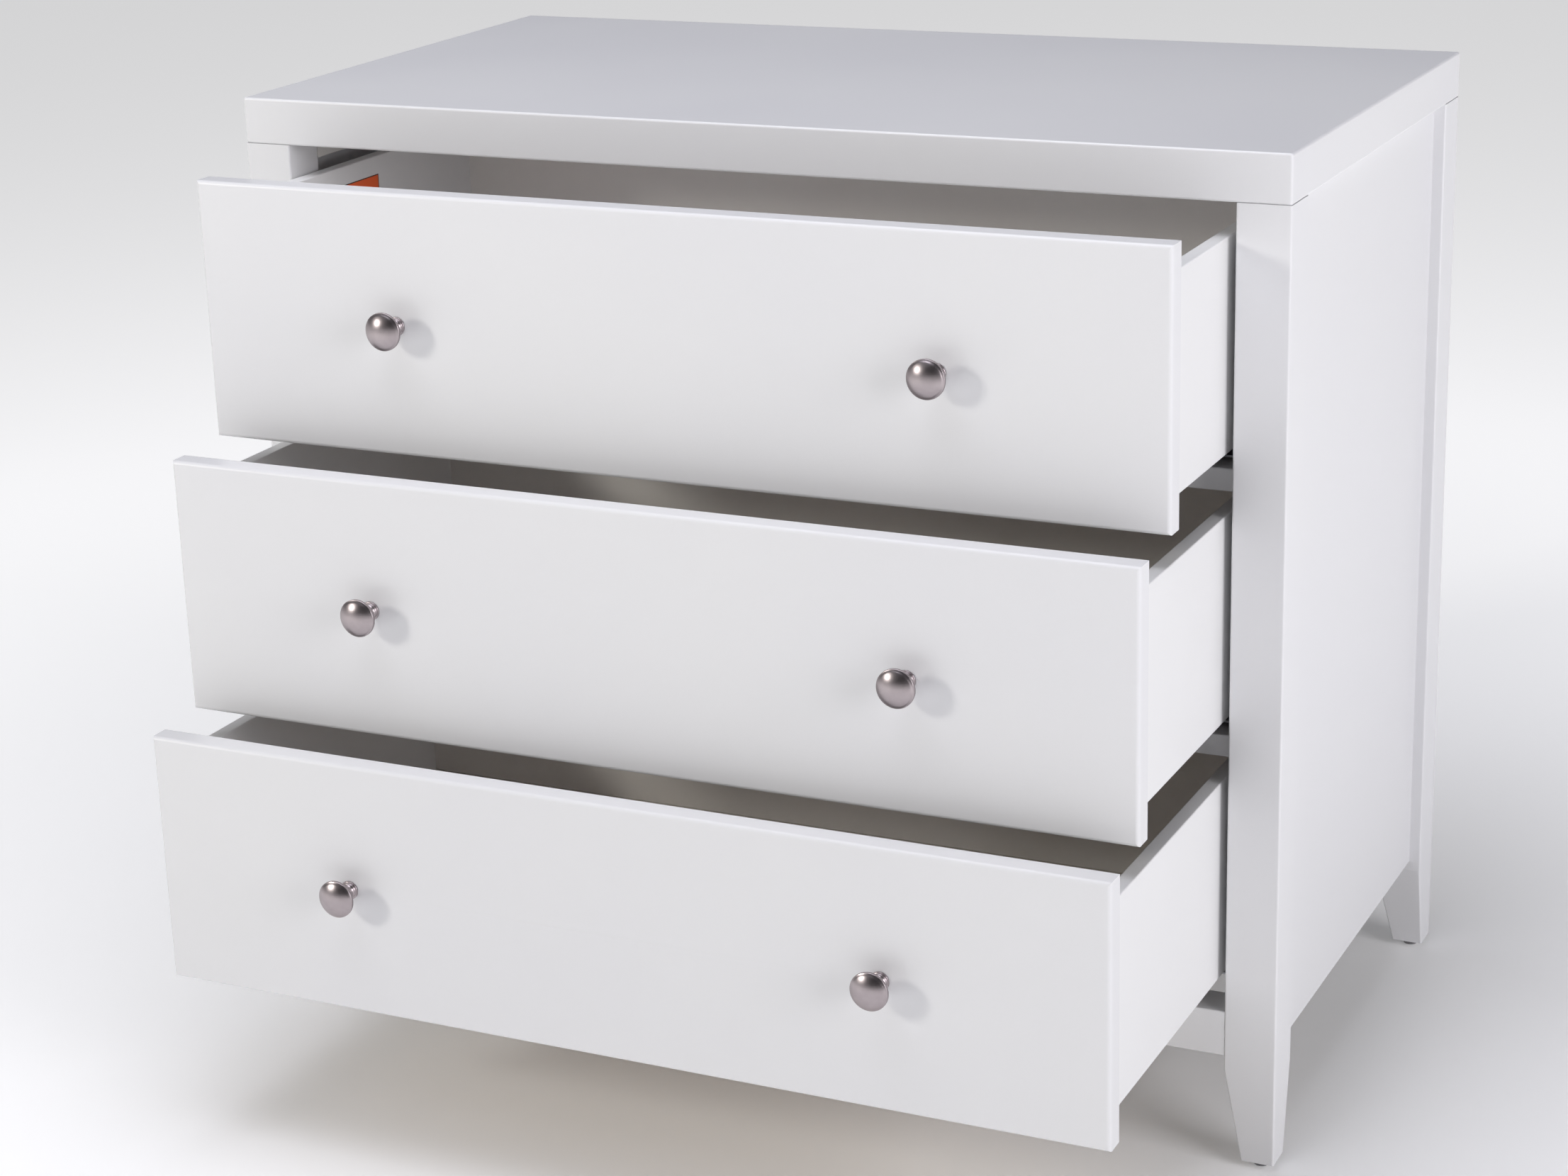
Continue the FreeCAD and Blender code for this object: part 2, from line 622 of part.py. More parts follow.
def knob_screws(level, name):
    """Machine screws from inside the drawer, through its front, into the knobs."""
    forwards = (FreeCAD.Vector(1, 0, 0), 90)
    spot = ("0 - knob_spread / 2", f"{FACE} + front_thickness - open_{name}")
    tall = f"{front_bottom(level)} + {FRONT_HEIGHT} / 2"
    shank = solid_of("Part::Cylinder", f"{name}_knob_shank",
                     {"Radius": "knob_screw_diameter / 2",
                      "Height": "front_thickness + knob_bore_depth"}, (*spot, tall), forwards)
    head = solid_of("Part::Cylinder", f"{name}_knob_screw_head",
                    {"Radius": "knob_screw_head / 2", "Height": "knob_screw_head_height"},
                    (spot[0], f"{spot[1]} + knob_screw_head_height", tall), forwards)
    screw = doc.addObject("Part::MultiFuse", f"{name}_knob_screw")
    screw.Shapes = [shank, head]
    mirrored_pair(screw, f"{name}_knob_screws")


def drawer_label(level, name):
    """A blank paper label on the inner face of the left drawer side."""
    top = f"{front_bottom(level)} + {FRONT_HEIGHT} - side_drop - label_drop"
    low = (f"0 - {INNER_LINE}", f"{FACE} + label_setback - open_{name}", f"{top} - label_height")
    board("drawer_label", low, ("label_thickness", "label_length", "label_height"))


top_panel()
posts()
glides()
panels()
rails()
cleats()
bearers()
runner_screws()
for level, name in enumerate(LEVELS):
    cabinet_rails(level, name)
    drawer_rails(level, name)
    ball_cages(level, name)
    drawer_front(level, name)
    drawer_box(level, name)
    knobs(level, name)
    knob_screws(level, name)
drawer_label(LEVELS.index("upper"), "upper")
doc.recompute()

for thing in doc.Objects:
    if "Invalid" in thing.State or "Error" in thing.State:
        raise RuntimeError(f"{thing.Label}: {thing.State}")
for thing in subparts:
    if thing.Shape.isNull() or not thing.Shape.isValid():
        raise RuntimeError(f"{thing.Label}: the shape is null or not valid")
for thing in subparts:
    thing.Shape.exportStep(f"parts/{thing.Label}.step")
print(len(subparts), "sub-parts written")
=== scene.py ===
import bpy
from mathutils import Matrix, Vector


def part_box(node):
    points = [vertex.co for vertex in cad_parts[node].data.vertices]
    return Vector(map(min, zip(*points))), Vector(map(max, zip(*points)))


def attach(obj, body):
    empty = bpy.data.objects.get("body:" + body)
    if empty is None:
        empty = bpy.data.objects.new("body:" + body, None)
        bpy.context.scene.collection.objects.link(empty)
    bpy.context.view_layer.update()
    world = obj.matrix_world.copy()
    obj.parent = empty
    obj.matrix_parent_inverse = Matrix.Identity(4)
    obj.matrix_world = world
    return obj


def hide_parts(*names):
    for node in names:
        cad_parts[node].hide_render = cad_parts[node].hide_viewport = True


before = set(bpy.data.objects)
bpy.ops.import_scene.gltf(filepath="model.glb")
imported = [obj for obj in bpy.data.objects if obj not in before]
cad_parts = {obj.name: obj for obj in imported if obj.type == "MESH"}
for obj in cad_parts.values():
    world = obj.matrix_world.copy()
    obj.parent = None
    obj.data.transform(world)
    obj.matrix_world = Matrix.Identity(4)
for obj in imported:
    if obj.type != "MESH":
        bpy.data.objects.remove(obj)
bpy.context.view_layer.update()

import math
import random

import bmesh
import bpy
from mathutils import Matrix, Vector


# The studio lights: a small one at the front left, which throws the knobs' shadows to the right,
# a broad one at the right that fills the side and the drawers, and a broad one overhead.

def linear(hex_colour):
    """An sRGB hex colour as linear red, green, blue and alpha."""
    channels = [int(hex_colour[start:start + 2], 16) / 255 for start in (1, 3, 5)]
    return [c / 12.92 if c <= 0.04045 else ((c + 0.055) / 1.055) ** 2.4 for c in channels] + [1.0]


def place_in_scene(name, contents):
    """An object of a mesh, lamp or camera, linked to the scene."""
    thing = bpy.data.objects.new(name, contents)
    bpy.context.scene.collection.objects.link(thing)
    return thing


def soft_light(name, towards, distance, size, power, colour):
    """A square area light that faces the middle of the chest from the direction `towards`."""
    lamp = bpy.data.lights.new(name, "AREA")
    lamp.shape = "SQUARE"
    lamp.size = size
    lamp.energy = power
    lamp.color = linear(colour)[:3]
    holder = place_in_scene(name, lamp)
    middle = Vector((0.0, -0.2, 0.42))
    away = Vector(towards).normalized()
    holder.location = middle + away * distance
    holder.rotation_mode = "QUATERNION"
    holder.rotation_quaternion = away.to_track_quat("Z", "Y")


soft_light("key_light", (-26, -28, 14), 4.5, 0.7, 60, "#FFFCF5")
soft_light("fill_light", (40, -14, 11), 4.5, 2.2, 105, "#FDFBFF")
soft_light("top_light", (-2, -3, 20), 2.6, 2.0, 50, "#F6F7FF")


# The room: grey walls and ceiling with a darker end at the front right, which the knobs mirror
# as their dark patches, and a pale band at the horizon where the floor runs out of sight.

def add(tree, kind, inputs=(), **settings):
    """Adds a shader node. An input is given a value, or another node's output to link to."""
    node = tree.nodes.new("ShaderNode" + kind)
    for name, value in settings.items():
        setattr(node, name, value)
    for name, value in dict(inputs).items():
        if isinstance(value, bpy.types.NodeSocket):
            tree.links.new(value, node.inputs[name])
        else:
            node.inputs[name].default_value = value
    return node


world = bpy.data.worlds.new("grey_room")
bpy.context.scene.world = world
world.use_nodes = True
tree = world.node_tree
direction = add(tree, "TexCoord")
middle_of_dark_end = (0.56, -0.80, 0.21)
nearness = add(tree, "VectorMath", {0: direction.outputs["Generated"], 1: middle_of_dark_end},
               operation="DOT_PRODUCT")
dark_end = add(tree, "MapRange", {"Value": nearness.outputs["Value"], "From Min": 0.45,
                                  "From Max": 0.88}, interpolation_type="SMOOTHSTEP")
walls = add(tree, "MixRGB", {"Fac": dark_end.outputs["Result"], "Color1": linear("#555559"),
                             "Color2": linear("#0A0A0A")})
slope = add(tree, "SeparateXYZ", {"Vector": direction.outputs["Generated"]})
horizon = add(tree, "MapRange", {"Value": slope.outputs["Z"], "From Min": 0.02,
                                 "From Max": 0.12, "To Min": 1.0, "To Max": 0.0},
              interpolation_type="SMOOTHSTEP")
room = add(tree, "MixRGB", {"Fac": horizon.outputs["Result"], "Color1": walls.outputs["Color"],
                            "Color2": linear("#CBCBCD")})
tree.links.new(room.outputs["Color"], tree.nodes["Background"].inputs["Color"])
bpy.context.scene.view_settings.view_transform = "Standard"
bpy.context.scene.cycles.diffuse_bounces = 8


# The floor: a sheet of matt white paper that glows with painted light of its own; no lamp lights
# it from behind.
# The glow is dimmest under the chest, a painted shade there, and brightens away from it, so the
# shadow stays soft and the paper's far end stays pale.

def new_material(name):
    """An empty node material, with its tree and its surface socket."""
    material = bpy.data.materials.new(name)
    material.use_nodes = True
    tree = material.node_tree
    tree.nodes.clear()
    output = tree.nodes.new("ShaderNodeOutputMaterial")
    return material, tree, output.inputs["Surface"]


paper, tree, surface = new_material("matt_paper_sweep")
spot = add(tree, "TexCoord")
cloud = add(tree, "TexNoise", {"Vector": spot.outputs["Object"], "Scale": 0.8, "Detail": 2.0})
tone = add(tree, "MixRGB", {"Fac": cloud.outputs["Fac"], "Color1": linear("#F2F2F2"),
                            "Color2": linear("#F5F5F5")})
away = add(tree, "VectorMath", {0: spot.outputs["Object"]}, operation="LENGTH")
# Painted glow: emission that grows with distance from the chest, leaving a painted shade under it.
painted_glow = add(tree, "MapRange", {"Value": away.outputs["Value"], "From Min": 0.0,
                                   "From Max": 2.15, "To Min": 0.05, "To Max": 0.56},
                interpolation_type="SMOOTHSTEP")
shade = add(tree, "BsdfPrincipled", {"Base Color": tone.outputs["Color"], "Roughness": 0.85,
                                     "Emission Color": linear("#FFFFFF"),
                                     "Emission Strength": painted_glow.outputs["Result"]})
tree.links.new(shade.outputs["BSDF"], surface)
sweep = bpy.data.meshes.new("studio_floor")
reach = 300.0  # metres, so that its edge never shows
corners = [(-reach, -reach, 0), (reach, -reach, 0), (reach, reach, 0), (-reach, reach, 0)]
sweep.from_pydata(corners, [], [(0, 1, 2, 3)])
sweep.materials.append(paper)
place_in_scene("studio_floor", sweep)


# The camera: 1.25 m above the floor, in front of the drawers and to the right, with a short
# telephoto lens. It leans a little, as a hand-held camera does.
azimuth, elevation, lean = (math.radians(angle) for angle in (25.75, 18.09, -1.75))
aim = Vector((-0.0094, -0.150, 0.4087))
distance = 2.7105
back = Vector((math.sin(azimuth) * math.cos(elevation),
               -math.cos(azimuth) * math.cos(elevation), math.sin(elevation)))
lens = bpy.data.cameras.new("camera")
lens.lens = 74.3
lens.clip_end = 1000.0  # metres, past the far end of the paper
camera = place_in_scene("camera", lens)
turn = (Matrix.Rotation(azimuth, 4, "Z") @ Matrix.Rotation(math.pi / 2 - elevation, 4, "X")
        @ Matrix.Rotation(lean, 4, "Z"))
camera.matrix_world = Matrix.Translation(aim + back * distance) @ turn
bpy.context.scene.camera = camera


# Carcass and drawer fronts: solid wood posts and medium-density fibreboard panels, glued up,
# sanded and sprayed with white polyurethane lacquer.
MM = 0.001
LEVELS = ("upper", "middle", "lower")


def dress(node, material):
    """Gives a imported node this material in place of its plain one."""
    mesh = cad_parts[node].data
    mesh.materials.clear()
    mesh.materials.append(material)


def sprayed_lacquer(name, colour, thin_colour):
    """Satin polyurethane lacquer, sprayed. It is even and faintly dimpled like orange peel,
    with a soft sheen that wanders a little where the spray lay thicker or thinner."""
    material, tree, surface = new_material(name)
    spot = add(tree, "TexCoord")
    where = spot.outputs["Object"]
    drift = add(tree, "TexNoise", {"Vector": where, "Scale": 3.2, "Detail": 3.0})
    thin = add(tree, "ValToRGB", {"Fac": drift.outputs["Fac"]})
    thin.color_ramp.elements[0].position = 0.35
    thin.color_ramp.elements[0].color = linear(thin_colour)
    thin.color_ramp.elements[1].position = 0.65
    thin.color_ramp.elements[1].color = linear(colour)
    # Dust nibs and filled pores: rare specks about 0.6 mm across, 7 mm apart.
    specks = add(tree, "TexVoronoi", {"Vector": where, "Scale": 140.0})
    rare = add(tree, "MapRange", {"Value": specks.outputs["Distance"], "From Min": 0.02,
                                  "From Max": 0.06, "To Min": 0.965, "To Max": 1.0})
    tone = add(tree, "MixRGB", {"Fac": 1.0, "Color1": thin.outputs["Color"],
                                "Color2": rare.outputs["Result"]}, blend_type="MULTIPLY")
    # Orange peel about 2 mm from crest to crest, on slow waves of the sanded board, 60 mm long.
    peel = add(tree, "TexNoise", {"Vector": where, "Scale": 1 / (2.0 * MM), "Detail": 2.0})
    board = add(tree, "TexNoise", {"Vector": where, "Scale": 1 / (60 * MM), "Detail": 1.0})
    waves = add(tree, "Bump", {"Height": board.outputs["Fac"], "Strength": 0.10,
                               "Distance": 0.6 * MM})
    dimples = add(tree, "Bump", {"Height": peel.outputs["Fac"], "Strength": 0.22,
                                 "Distance": 0.05 * MM, "Normal": waves.outputs["Normal"]})
    sheen = add(tree, "MapRange", {"Value": drift.outputs["Fac"], "To Min": 0.34, "To Max": 0.46})
    shade = add(tree, "BsdfPrincipled", {
        "Base Color": tone.outputs["Color"], "Roughness": sheen.outputs["Result"],
        "IOR": 1.48, "Coat Weight": 0.18, "Coat Roughness": 0.22,
        "Normal": dimples.outputs["Normal"]})
    tree.links.new(shade.outputs["BSDF"], surface)
    return material


white_lacquer = sprayed_lacquer("satin_white_lacquer", "#E0E0E1", "#DEDEE0")
for node in ("top_panel", "post_front_left", "post_front_right", "post_rear_left",
             "post_rear_right", "side_panel_left", "side_panel_right", "bottom_rail",
             "rear_rail", "divider_rail_lower", "divider_rail_upper"):
    dress(node, white_lacquer)
for level in LEVELS:
    dress(f"{level}_front", white_lacquer)


# Cleats, runner bearers and back panel: board that is only primed, because it is out of sight.

def rolled_primer():
    """Water-based primer, rolled on fibreboard. It is matt and slightly mottled, with the
    stipple of the roller."""
    material, tree, surface = new_material("rolled_primer")
    spot = add(tree, "TexCoord")
    where = spot.outputs["Object"]
    cloud = add(tree, "TexNoise", {"Vector": where, "Scale": 14.0, "Detail": 5.0})
    tone = add(tree, "MixRGB", {"Fac": cloud.outputs["Fac"], "Color1": linear("#DAD8D3"),
                                "Color2": linear("#E2E0DC")})
    stipple = add(tree, "TexNoise", {"Vector": where, "Scale": 1 / (1.2 * MM), "Detail": 3.0})
    bump = add(tree, "Bump", {"Height": stipple.outputs["Fac"], "Strength": 0.35,
                              "Distance": 0.12 * MM})
    shade = add(tree, "BsdfPrincipled", {"Base Color": tone.outputs["Color"], "Roughness": 0.72,
                                         "Normal": bump.outputs["Normal"]})
    tree.links.new(shade.outputs["BSDF"], surface)
    return material


primer = rolled_primer()
for node in ("cleat_left", "cleat_right", "bearers_left", "bearers_right", "back_panel"):
    dress(node, primer)


# Drawer boxes: board sides sprayed white, backs sprayed a warmer white, and thin fibreboard
# bottoms in grooves, which are faced with pale foil above and are bare below.

def foiled_fibreboard():
    """Thin fibreboard. The upper face has a pale foil with a fine linen print, and the lower
    face and edges are bare brown fibre."""
    material, tree, surface = new_material("foiled_fibreboard")
    spot = add(tree, "TexCoord")
    where = spot.outputs["Object"]
    fibres = add(tree, "TexNoise", {"Vector": where, "Scale": 1 / (0.9 * MM), "Detail": 6.0,
                                    "Roughness": 0.7})
    bare = add(tree, "MixRGB", {"Fac": fibres.outputs["Fac"], "Color1": linear("#A08C72"),
                                "Color2": linear("#C0AC92")})
    # The bands repeat about every third of this scale, so the printed threads are 3 mm apart.
    # Real ones are 1 mm apart and would be too fine to show.
    warp = add(tree, "TexWave", {"Vector": where, "Scale": 1 / (9 * MM), "Distortion": 1.5,
                                 "Detail": 2.0}, bands_direction="X")
    weft = add(tree, "TexWave", {"Vector": where, "Scale": 1 / (9 * MM), "Distortion": 1.5,
                                 "Detail": 2.0}, bands_direction="Y")
    linen = add(tree, "Math", {0: warp.outputs["Fac"], 1: weft.outputs["Fac"]},
                operation="MULTIPLY")
    foil = add(tree, "MixRGB", {"Fac": linen.outputs["Value"], "Color1": linear("#EFECE7"),
                                "Color2": linear("#F5F3F0")})
    facing = add(tree, "NewGeometry")
    up = add(tree, "SeparateXYZ", {"Vector": facing.outputs["Normal"]})
    upper = add(tree, "Math", {0: up.outputs["Z"], 1: 0.5}, operation="GREATER_THAN")
    tone = add(tree, "MixRGB", {"Fac": upper.outputs["Value"], "Color1": bare.outputs["Color"],
                                "Color2": foil.outputs["Color"]})
    bump = add(tree, "Bump", {"Height": fibres.outputs["Fac"], "Strength": 0.2,
                              "Distance": 0.08 * MM})
    shade = add(tree, "BsdfPrincipled", {"Base Color": tone.outputs["Color"], "Roughness": 0.6,
                                         "Normal": bump.outputs["Normal"]})
    tree.links.new(shade.outputs["BSDF"], surface)
    return material


box_lacquer = sprayed_lacquer("satin_box_lacquer", "#E6E6E6", "#E3E3E3")
back_lacquer = sprayed_lacquer("satin_back_lacquer", "#F0EDE9", "#EBE7E2")
fibreboard = foiled_fibreboard()
for level in LEVELS:
    for side in ("left", "right"):
        dress(f"{level}_side_{side}", box_lacquer)
    dress(f"{level}_back", back_lacquer)
    dress(f"{level}_bottom", fibreboard)


# Knobs: zinc castings, turned smooth and plated in satin nickel. A shallow dome with a narrow
# rim stands on a cone and a waisted neck that flares into a ringed base.

def satin_nickel():
    """Nickel plate over fine turning marks. It is a warm grey metal with soft, slightly
    smeared reflections that run round the dome."""
    material, tree, surface = new_material("satin_nickel_plate")
    spot = add(tree, "TexCoord")
    where = spot.outputs["Object"]
    flat = add(tree, "Mapping", {"Vector": where, "Scale": (1.0, 0.0, 1.0)})
    out = add(tree, "VectorMath", {0: flat.outputs["Vector"]}, operation="LENGTH")
    rings = add(tree, "TexNoise", {"W": out.outputs["Value"], "Scale": 1 / (0.25 * MM),
                                   "Detail": 3.0}, noise_dimensions="1D")
    cloud = add(tree, "TexNoise", {"Vector": where, "Scale": 1 / (7 * MM), "Detail": 3.0})
    tone = add(tree, "MixRGB", {"Fac": cloud.outputs["Fac"], "Color1": linear("#9C9395"),
                                "Color2": linear("#AEA5A7")})
    rough = add(tree, "MapRange", {"Value": cloud.outputs["Fac"], "To Min": 0.28, "To Max": 0.33})
    bump = add(tree, "Bump", {"Height": rings.outputs["Fac"], "Strength": 0.07,
                              "Distance": 0.02 * MM})
    shade = add(tree, "BsdfPrincipled", {"Base Color": tone.outputs["Color"], "Metallic": 1.0,
                                         "Roughness": rough.outputs["Result"],
                                         "Normal": bump.outputs["Normal"]})
    tree.links.new(shade.outputs["BSDF"], surface)
    return material


def turned_mesh(name, profile, sides=96):
    """A solid of revolution about -Y. The profile is pairs of radius and distance out, and
    starts and ends on the axis."""
    shape = bmesh.new()
    rings = []
    for radius, out in profile:
        if radius == 0:
            rings.append([shape.verts.new((0, -out, 0))])
            continue
        angles = [math.tau * index / sides for index in range(sides)]
        rings.append([shape.verts.new((radius * math.cos(a), -out, radius * math.sin(a)))
                      for a in angles])
    for inner, outer in zip(rings, rings[1:]):
        for index in range(sides):
            following = (index + 1) % sides
            corners = [inner[index % len(inner)], outer[index % len(outer)],
                       outer[following % len(outer)], inner[following % len(inner)]]
            shape.faces.new(list(dict.fromkeys(corners)))
    bmesh.ops.recalc_face_normals(shape, faces=shape.faces)
    mesh = bpy.data.meshes.new(name)
    shape.to_mesh(mesh)
    shape.free()
    mesh.shade_smooth()
    return mesh


def swing(centre, radius, start, end, steps):
    """Points on an arc between two angles in degrees, for a turned profile."""
    spread = [start + (end - start) * step / steps for step in range(steps + 1)]
    return [(centre[0] + radius * math.cos(math.radians(angle)),
             centre[1] + radius * math.sin(math.radians(angle))) for angle in spread]


def knob_profile(radius, height):
    """From the middle of the base's back to the middle of the dome."""
    base, ring, neck = 0.50 * radius, 0.42 * radius, 0.315 * radius
    waist, rim_low, rim_high = 0.36 * height, 0.70 * height, 0.80 * height
    base_edge, ring_edge, rim_edge = 0.6 * MM, 0.7 * MM, 0.5 * MM
    points = [(0, 0), (base - base_edge / 2, 0), (base, base_edge / 2)]
    points += swing((base - base_edge, 2 * base_edge), base_edge, 0, 90, 5)
    points += [(ring, 1.85 * MM)]
    points += swing((ring - ring_edge, 2.7 * MM), ring_edge, 0, 80, 5)
    points += [(neck + 0.5 * MM, waist - 4.6 * MM), (neck, waist - 2.6 * MM), (neck, waist)]
    points += [(neck + (radius - neck) * (step / 7) ** 1.35, waist + (rim_low - waist) * step / 7)
               for step in range(1, 7)]
    points += swing((radius - rim_edge, rim_low + rim_edge), rim_edge, -60, 0, 4)
    points += swing((radius - rim_edge, rim_high - rim_edge), rim_edge, 0, 80, 5)
    dome_rise = height - rim_high
    dome_radius = (radius ** 2 + dome_rise ** 2) / (2 * dome_rise)
    dome_middle = height - dome_radius
    dome_edge = math.asin((radius - rim_edge) / dome_radius)
    for step in range(1, 14):
        angle = dome_edge * (1 - step / 14)
        points.append((dome_radius * math.sin(angle), dome_middle + dome_radius * math.cos(angle)))
    return points + [(0, height)]


nickel = satin_nickel()
low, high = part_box("upper_knob_left")
knob_mesh = turned_mesh("mushroom_knob", knob_profile((high.x - low.x) / 2, high.y - low.y))
knob_mesh.materials.append(nickel)
for level in LEVELS:
    for side in ("left", "right"):
        node = f"{level}_knob_{side}"
        low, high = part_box(node)
        knob = place_in_scene(f"{level}_nickel_knob_{side}", knob_mesh)
        knob.location = ((low.x + high.x) / 2, high.y, (low.z + high.z) / 2)
        knob.rotation_euler = (0, random.Random(node).uniform(0, math.tau), 0)
        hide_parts(node)
        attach(knob, f"{level}_drawer")


# Runners: rails of zinc-plated sheet steel, roll-formed, with polished balls in moulded nylon
# cages between them. Zinc-plated pan-head screws fix the cabinet rails to their bearers.

def zinc_plate():
    """Bright zinc plate on sheet steel. It is a cool grey metal with a faint crystal pattern,
    a few millimetres across, and roller lines along its length."""
    material, tree, surface = new_material("bright_zinc_plate")
    spot = add(tree, "TexCoord")
    where = spot.outputs["Object"]
    crystals = add(tree, "TexVoronoi", {"Vector": where, "Scale": 1 / (4 * MM)})
    lines = add(tree, "Mapping", {"Vector": where, "Scale": (1.0, 0.01, 1.0)})
    streaks = add(tree, "TexNoise", {"Vector": lines.outputs["Vector"], "Scale": 1 / (0.5 * MM)})
    tone = add(tree, "MixRGB", {"Fac": crystals.outputs["Color"], "Color1": linear("#9FA2A6"),
                                "Color2": linear("#C2C5C9")})
    rough = add(tree, "MapRange", {"Value": crystals.outputs["Distance"], "To Min": 0.30,
                                   "To Max": 0.48})
    bump = add(tree, "Bump", {"Height": streaks.outputs["Fac"], "Strength": 0.15,
                              "Distance": 0.03 * MM})
    shade = add(tree, "BsdfPrincipled", {"Base Color": tone.outputs["Color"], "Metallic": 1.0,
                                         "Roughness": rough.outputs["Result"],
                                         "Normal": bump.outputs["Normal"]})
    tree.links.new(shade.outputs["BSDF"], surface)
    return material


def bearing_steel():
    """Polished bearing steel with a trace of grease, so its mirror is broken by soft smears."""
    material, tree, surface = new_material("polished_bearing_steel")
    spot = add(tree, "TexCoord")
    grease = add(tree, "TexNoise", {"Vector": spot.outputs["Object"], "Scale": 1 / (3 * MM),
                                    "Detail": 3.0})
    rough = add(tree, "MapRange", {"Value": grease.outputs["Fac"], "To Min": 0.06, "To Max": 0.28})
    shade = add(tree, "BsdfPrincipled", {"Base Color": linear("#C9C9C6"), "Metallic": 1.0,
                                         "Roughness": rough.outputs["Result"]})
    tree.links.new(shade.outputs["BSDF"], surface)
    return material


def moulded_nylon(name, dark, pale):
    """Moulded nylon. It is waxy and lets light in a little way, with a fine spark-eroded
    texture from the mould."""
    material, tree, surface = new_material(name)
    spot = add(tree, "TexCoord")
    where = spot.outputs["Object"]
    flow = add(tree, "TexNoise", {"Vector": where, "Scale": 1 / (6 * MM), "Detail": 2.0})
    tone = add(tree, "MixRGB", {"Fac": flow.outputs["Fac"], "Color1": linear(dark),
                                "Color2": linear(pale)})
    grit = add(tree, "TexNoise", {"Vector": where, "Scale": 1 / (0.5 * MM), "Detail": 2.0})
    bump = add(tree, "Bump", {"Height": grit.outputs["Fac"], "Strength": 0.3,
                              "Distance": 0.04 * MM})
    shade = add(tree, "BsdfPrincipled", {
        "Base Color": tone.outputs["Color"], "Roughness": 0.48, "IOR": 1.53,
        "Subsurface Weight": 0.1, "Subsurface Scale": 1.5 * MM, "Normal": bump.outputs["Normal"]})
    tree.links.new(shade.outputs["BSDF"], surface)
    return material


zinc = zinc_plate()
steel = bearing_steel()
cage_nylon = moulded_nylon("natural_nylon", "#CFCBBB", "#DEDACB")
dress("runner_screws", zinc)
for level in LEVELS:
    for piece in ("cabinet_rails", "drawer_rails"):
        dress(f"{level}_{piece}", zinc)
    dress(f"{level}_balls", steel)
    dress(f"{level}_ball_cages", cage_nylon)


# Knob screws: M4 steel machine screws, zinc-plated, driven from inside the drawer. Each has a
# pan head with a cross recess, and its thread runs into the knob's bore.

def machine_screw(radius, head_radius, head_height, length):
    """Points for a turned mesh, from the screw's tip to the middle of its head."""
    pitch, depth, rim = 0.7 * MM, 0.4 * MM, 0.9 * MM
    points = [(0, 0), (radius - 0.5 * MM, 0)]
    for turn in range(1, int((length - head_height) / pitch)):
        points += [(radius, turn * pitch - pitch / 2), (radius - depth, turn * pitch)]
    seat = length - head_height
    points += [(radius, seat - 0.2 * MM), (radius, seat), (head_radius - 0.2 * MM, seat),
               (head_radius, seat + 0.2 * MM), (head_radius, seat + rim)]
    crown = head_height - rim
    points += [(head_radius * math.cos(math.radians(angle)),
                seat + rim + crown * math.sin(math.radians(angle)))
               for angle in range(6, 90, 3)]
    return points + [(0, length)]


def press_cross(mesh, reach, width, deepest, top):
    """Sinks a tapered cross into the part of a screw's head that is further out than `top`."""
    for point in mesh.vertices:
        x, z = abs(point.co.x), abs(point.co.z)
        arm = min(x, z) < width / 2 and max(x, z) < reach and point.co.y < -top
        if arm:
            point.co.y += deepest * (1 - 0.6 * max(x, z) / reach)


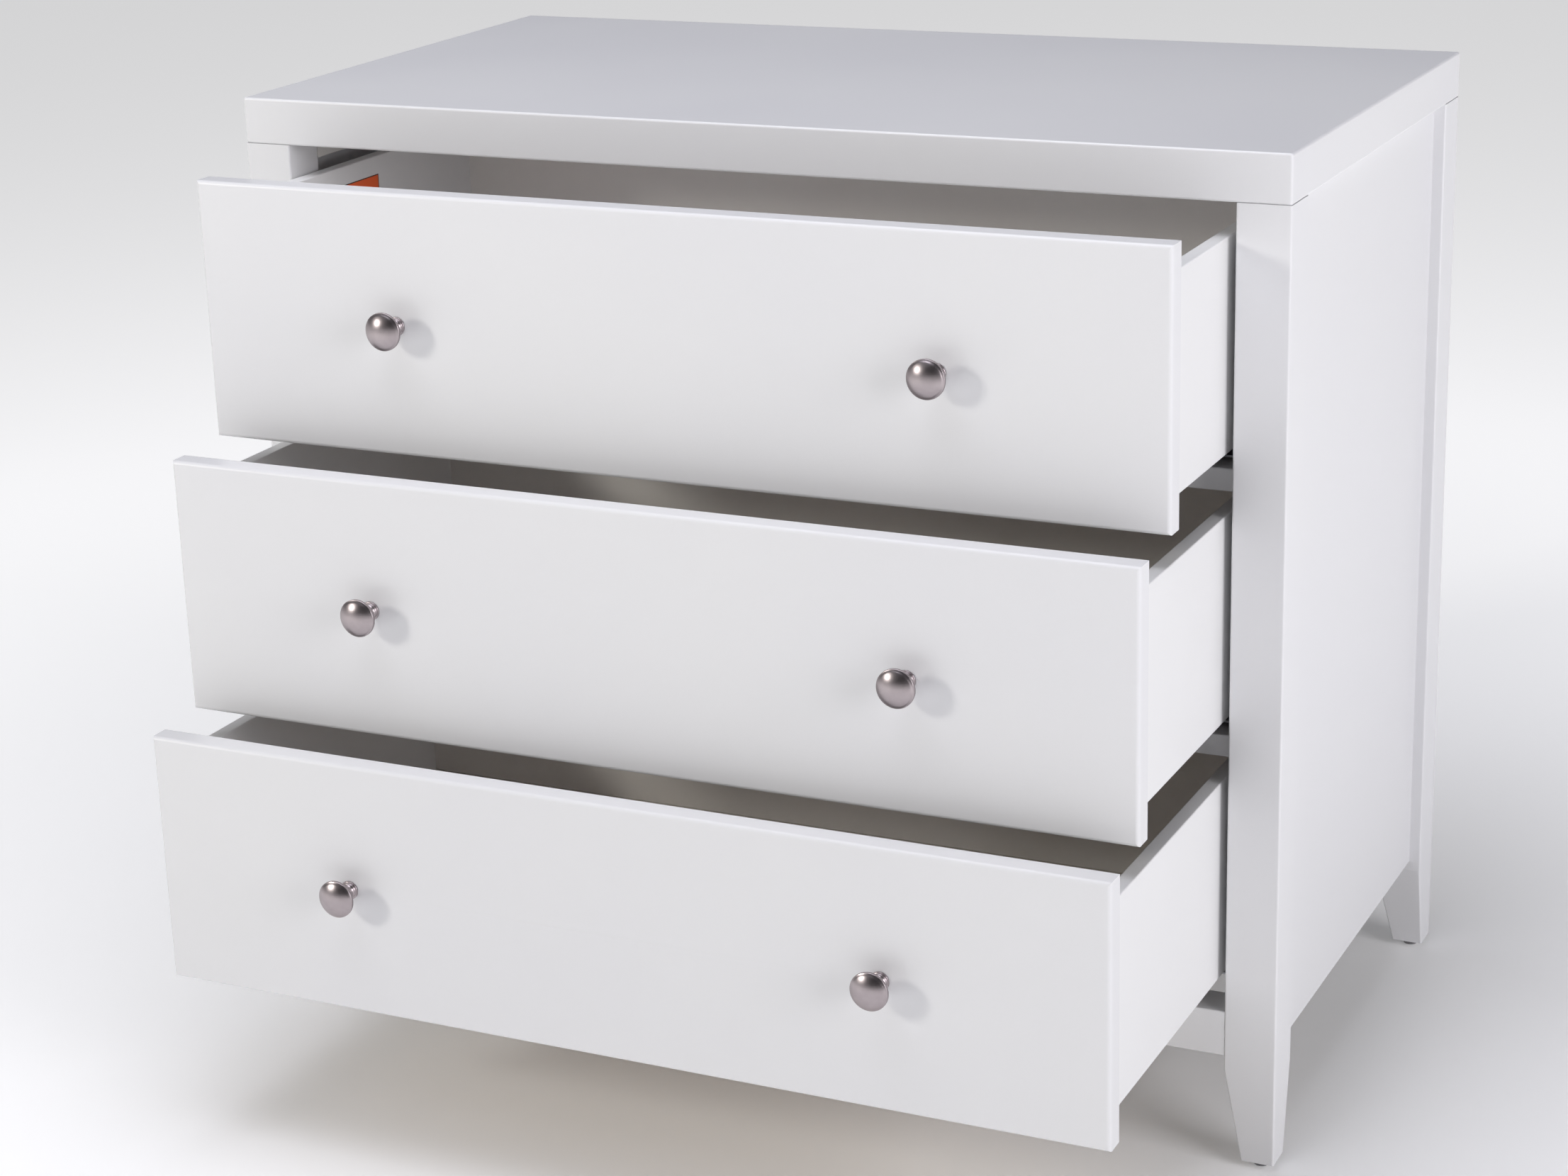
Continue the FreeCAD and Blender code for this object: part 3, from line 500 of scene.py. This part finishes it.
low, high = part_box("upper_knob_screws")
screw_length, head_radius = high.y - low.y, (high.z - low.z) / 2
screw_mesh = turned_mesh("cross_recess_screw",
                         machine_screw(2.0 * MM, head_radius, 2.4 * MM, screw_length))
press_cross(screw_mesh, 2.6 * MM, 1.1 * MM, 1.5 * MM, screw_length - 1.4 * MM)
screw_mesh.materials.append(zinc)
for level in LEVELS:
    low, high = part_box(f"{level}_knob_screws")
    for side in ("left", "right"):
        start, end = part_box(f"{level}_knob_{side}")
        screw = place_in_scene(f"{level}_knob_screw_{side}", screw_mesh)
        screw.location = ((start.x + end.x) / 2, low.y, (start.z + end.z) / 2)
        screw.rotation_euler = (0, random.Random(side + level).uniform(0, 1.5), math.pi)
        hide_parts(f"{level}_knob_screws")
        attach(screw, f"{level}_drawer")


# Glides: discs of grey nylon moulded on steel nails and hammered into the ends of the legs.
glide_nylon = moulded_nylon("grey_nylon", "#6E6E70", "#858587")
dress("glides", glide_nylon)


# The label inside the upper drawer: coated paper, printed plain orange to a thin dark frame.

def printed_paper():
    """Coated paper under orange ink. It is flat and nearly matt, with the tooth of the paper,
    inside a dark printed line 0.8 mm wide that runs round its edge."""
    material, tree, surface = new_material("orange_printed_paper")
    low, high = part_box("drawer_label")
    spot = add(tree, "TexCoord")
    where = add(tree, "SeparateXYZ", {"Vector": spot.outputs["Object"]})
    nearest = None
    for axis, start, end in (("Y", low.y, high.y), ("Z", low.z, high.z)):
        centred = add(tree, "Math", {0: where.outputs[axis], 1: (start + end) / 2},
                      operation="SUBTRACT")
        away = add(tree, "Math", {0: centred.outputs["Value"]}, operation="ABSOLUTE")
        inset = add(tree, "Math", {0: (end - start) / 2, 1: away.outputs["Value"]},
                    operation="SUBTRACT")
        if nearest is None:
            nearest = inset
        else:
            nearest = add(tree, "Math", {0: nearest.outputs["Value"], 1: inset.outputs["Value"]},
                          operation="MINIMUM")
    line = add(tree, "Math", {0: nearest.outputs["Value"], 1: 0.8 * MM}, operation="LESS_THAN")
    tooth = add(tree, "TexNoise", {"Vector": spot.outputs["Object"], "Scale": 1 / (0.4 * MM),
                                   "Detail": 4.0})
    ink = add(tree, "MixRGB", {"Fac": tooth.outputs["Fac"], "Color1": linear("#F4622A"),
                               "Color2": linear("#F96C33")})
    tone = add(tree, "MixRGB", {"Fac": line.outputs["Value"], "Color1": ink.outputs["Color"],
                                "Color2": linear("#3A2A22")})
    bump = add(tree, "Bump", {"Height": tooth.outputs["Fac"], "Strength": 0.2,
                              "Distance": 0.03 * MM})
    shade = add(tree, "BsdfPrincipled", {"Base Color": tone.outputs["Color"], "Roughness": 0.55,
                                         "Normal": bump.outputs["Normal"]})
    tree.links.new(shade.outputs["BSDF"], surface)
    return material


dress("drawer_label", printed_paper())
